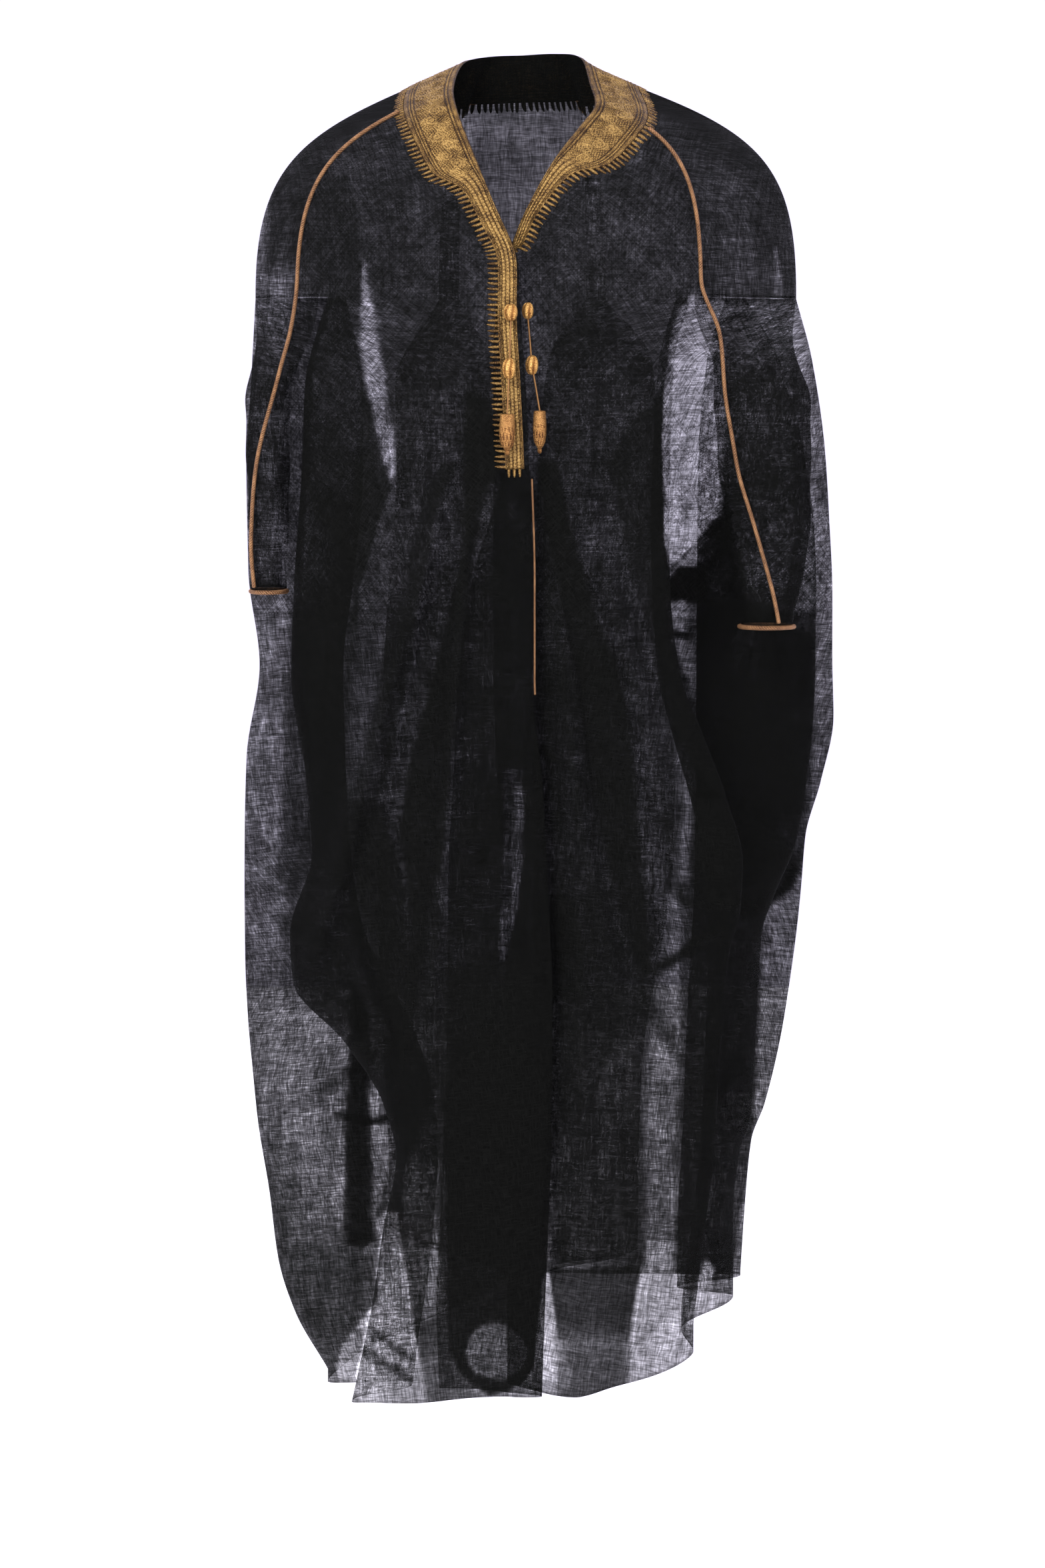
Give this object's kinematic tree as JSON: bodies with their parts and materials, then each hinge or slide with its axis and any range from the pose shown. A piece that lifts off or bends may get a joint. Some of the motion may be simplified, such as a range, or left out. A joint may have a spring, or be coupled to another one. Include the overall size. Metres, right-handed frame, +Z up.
{
  "type": "bisht cloak",
  "caption": "Sheer black bisht cloak, worn open over the shoulders with short draped sleeves, a gold-embroidered neckband, braided seams and tasselled ties.",
  "frame": {"origin": "middle of the neck opening, level with the tops of the shoulders that carry the cloak", "axes": "+Z up, the wearer faces -Y, +X is the wearer's left"},
  "size_m": [0.6418, 0.3656, 1.4503],
  "materials": {
    "front_right_upper": "sheer black open-weave wool",
    "front_right_lower": "sheer black open-weave wool",
    "front_left_upper": "sheer black open-weave wool",
    "front_left_lower": "sheer black open-weave wool",
    "back_upper": "sheer black open-weave wool",
    "back_lower": "sheer black open-weave wool",
    "sleeve_right": "sheer black open-weave wool",
    "sleeve_left": "sheer black open-weave wool",
    "neckband": "gold zari embroidery",
    "shoulder_piping_right": "copper-gold braid",
    "shoulder_piping_left": "copper-gold braid",
    "cuff_piping_right": "copper-gold braid",
    "cuff_piping_left": "copper-gold braid",
    "front_edge_cord": "wound gold thread",
    "knot_right": "wound gold thread",
    "knot_left": "wound gold thread",
    "bead_right": "wound gold thread",
    "bead_left": "wound gold thread",
    "tassel_right": "wound gold thread",
    "tassel_left": "wound gold thread",
    "string_right_bead": "wound gold thread",
    "string_right_tassel": "wound gold thread",
    "string_left_bead": "wound gold thread",
    "string_left_tassel": "wound gold thread"
  },
  "bodies": {
    "root": {"front_right_upper": "front_right_upper", "front_right_lower": "front_right_lower", "front_left_upper": "front_left_upper", "front_left_lower": "front_left_lower", "back_upper": "back_upper", "back_lower": "back_lower", "sleeve_right": "sleeve_right", "sleeve_left": "sleeve_left", "neckband": "neckband", "shoulder_piping_right": "shoulder_piping_right", "shoulder_piping_left": "shoulder_piping_left", "cuff_piping_right": "cuff_piping_right", "cuff_piping_left": "cuff_piping_left", "front_edge_cord": "front_edge_cord", "knot_right": "knot_right", "knot_left": "knot_left", "bead_right": "bead_right", "bead_left": "bead_left", "tassel_right": "tassel_right", "tassel_left": "tassel_left", "string_right_bead": "string_right_bead", "string_right_tassel": "string_right_tassel", "string_left_bead": "string_left_bead", "string_left_tassel": "string_left_tassel"}
  },
  "joints": []
}
